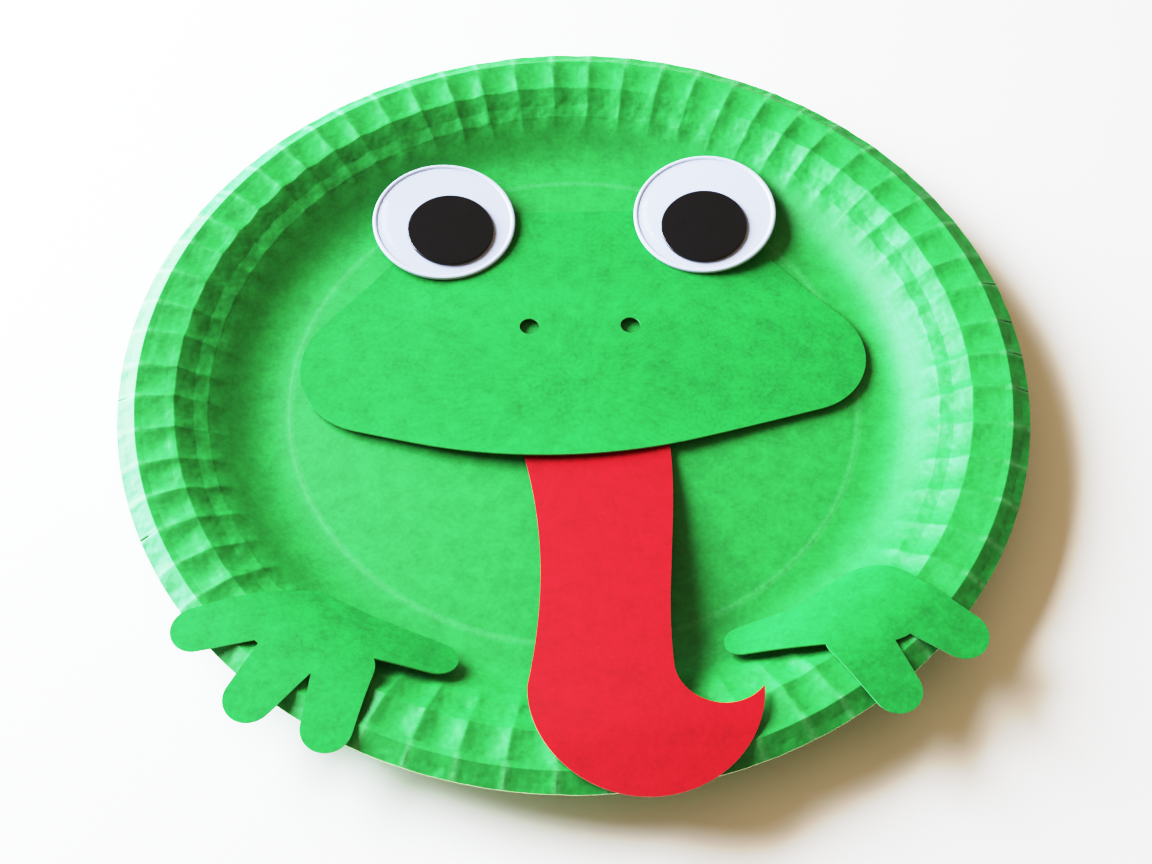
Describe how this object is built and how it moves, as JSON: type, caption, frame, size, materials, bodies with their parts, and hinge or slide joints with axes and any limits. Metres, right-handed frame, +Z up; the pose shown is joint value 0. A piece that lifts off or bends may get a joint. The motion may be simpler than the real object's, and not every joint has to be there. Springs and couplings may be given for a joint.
{
  "type": "paper plate frog",
  "caption": "Fluted paper plate made into a frog: a cut card face, a tongue that climbs to the rim, fingered hands over the rim and loose-pupil wobbly eyes.",
  "frame": {"origin": "middle of the plate's flat underside, where it rests on the table", "axes": "+Z up out of the plate, -Y the way the tongue points, +X to the right of someone who looks at the face"},
  "size_m": [0.23, 0.2312, 0.0148],
  "materials": {
    "plate_board": "painted matt",
    "green_card": "matt",
    "red_card": "matt",
    "eye_white": "matt",
    "eye_clear": "clear plastic",
    "pupil_black": "satin"
  },
  "bodies": {
    "frog": {"plate": "plate_board", "face": "green_card", "tongue": "red_card", "left_hand": "green_card", "right_hand": "green_card", "left_eye_back": "eye_white", "left_eye_dome": "eye_clear", "right_eye_back": "eye_white", "right_eye_dome": "eye_clear"},
    "left_pupil": {"left_pupil": "pupil_black"},
    "right_pupil": {"right_pupil": "pupil_black"}
  },
  "joints": [
    {"name": "left_pupil_roll", "type": "hinge", "parent": "frog", "child": "left_pupil", "pos_m": [-0.0369, 0.05617, 0.0033], "axis": [0.0563, -0.0857, 0.9947], "continuous": true},
    {"name": "right_pupil_roll", "type": "hinge", "parent": "frog", "child": "right_pupil", "pos_m": [0.03647, 0.05905, 0.00409], "axis": [-0.0747, -0.1209, 0.9899], "continuous": true}
  ]
}
